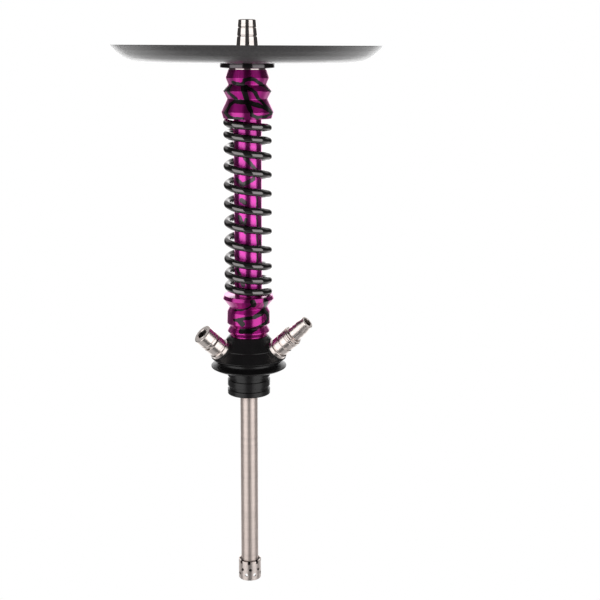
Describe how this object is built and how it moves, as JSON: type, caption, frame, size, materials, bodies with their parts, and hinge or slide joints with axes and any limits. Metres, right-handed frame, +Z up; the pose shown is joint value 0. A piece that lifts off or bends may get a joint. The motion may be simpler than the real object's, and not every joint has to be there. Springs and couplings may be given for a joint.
{
  "type": "hookah stem",
  "caption": "Water pipe stem dressed as a coilover: spring column between ridged collars, ash tray, ported hub, vase plug, downstem and diffuser.",
  "frame": {"origin": "on the stem axis, in the flange's underside, where it rests on the vase's rim", "axes": "+Z up the stem, -Y to the front, +X to the hose port's side"},
  "size_m": [0.235, 0.235, 0.5182],
  "materials": {
    "satin_black_aluminium": "black anodised, bead blasted satin",
    "brushed_steel_tube": "brushed stainless steel",
    "turned_steel": "turned and polished stainless steel",
    "seal_rubber": "moulded black rubber",
    "anodised_purple": "purple anodised with black veins",
    "gloss_black_wire": "gloss black powder coat",
    "textured_black_tray": "fine textured matte black powder coat"
  },
  "bodies": {
    "stem": {"hub": "satin_black_aluminium", "downstem_tube": "brushed_steel_tube", "downstem_seal": "seal_rubber", "core_tube": "brushed_steel_tube", "core_seal": "seal_rubber", "lower_collar": "anodised_purple", "column_sleeve": "anodised_purple", "spring": "gloss_black_wire", "upper_collar": "anodised_purple", "spacer_ring": "turned_steel", "tray_seat": "satin_black_aluminium", "tray_pad": "seal_rubber", "valve_body": "turned_steel", "valve_gasket": "seal_rubber", "hose_port": "turned_steel", "hose_port_gasket": "seal_rubber"},
    "tray": {"tray": "textured_black_tray"},
    "cone_carrier": {"bowl_cone_seal": "seal_rubber"},
    "cone": {"bowl_cone": "turned_steel"},
    "ball": {"valve_ball": "turned_steel"},
    "cap_carrier": {"valve_cap_seal": "seal_rubber"},
    "cap": {"valve_cap": "turned_steel"},
    "adapter_carrier": {"hose_seal_inner": "seal_rubber", "hose_seal_outer": "seal_rubber"},
    "adapter": {"hose_adapter": "turned_steel"},
    "diffuser_carrier": {"diffuser_seal": "seal_rubber"},
    "diffuser": {"diffuser": "brushed_steel_tube"}
  },
  "joints": [
    {"name": "tray_lift", "type": "slide", "parent": "stem", "child": "tray", "axis": [0, 0, 1], "range_m": [0, 0.045]},
    {"name": "cone_rise", "type": "slide", "parent": "stem", "child": "cone_carrier", "axis": [0, 0, 1], "range_m": [0, 0.008]},
    {"name": "cone_turn", "type": "hinge", "parent": "cone_carrier", "child": "cone", "pos_m": [0, 0, 0.27], "axis": [0, 0, 1], "range_deg": [0, 1920]},
    {"name": "ball_lift", "type": "slide", "parent": "stem", "child": "ball", "axis": [-0.6442, -0.3282, 0.6909], "range_m": [0, 0.0035]},
    {"name": "cap_rise", "type": "slide", "parent": "stem", "child": "cap_carrier", "axis": [-0.6442, -0.3282, 0.6909], "range_m": [0, 0.004]},
    {"name": "cap_turn", "type": "hinge", "parent": "cap_carrier", "child": "cap", "pos_m": [-0.02371, -0.01208, 0.01802], "axis": [-0.6442, -0.3282, 0.6909], "range_deg": [0, 1440]},
    {"name": "adapter_pull", "type": "slide", "parent": "stem", "child": "adapter_carrier", "axis": [0.6703, -0.2708, 0.6909], "range_m": [0, 0.0125]},
    {"name": "adapter_turn", "type": "hinge", "parent": "adapter_carrier", "child": "adapter", "pos_m": [0.02467, -0.00997, 0.01802], "axis": [0.6703, -0.2708, 0.6909], "continuous": true},
    {"name": "diffuser_drop", "type": "slide", "parent": "stem", "child": "diffuser_carrier", "axis": [0, 0, -1], "range_m": [0, 0.006]},
    {"name": "diffuser_turn", "type": "hinge", "parent": "diffuser_carrier", "child": "diffuser", "pos_m": [0, 0, -0.195], "axis": [0, 0, -1], "range_deg": [0, 2160]}
  ],
  "couplings": [
    {"joint": "cone_rise", "follows": "cone_turn", "m_per_rad": 0.00023873},
    {"joint": "cap_rise", "follows": "cap_turn", "m_per_rad": 0.00015915},
    {"joint": "diffuser_drop", "follows": "diffuser_turn", "m_per_rad": 0.00015915}
  ]
}
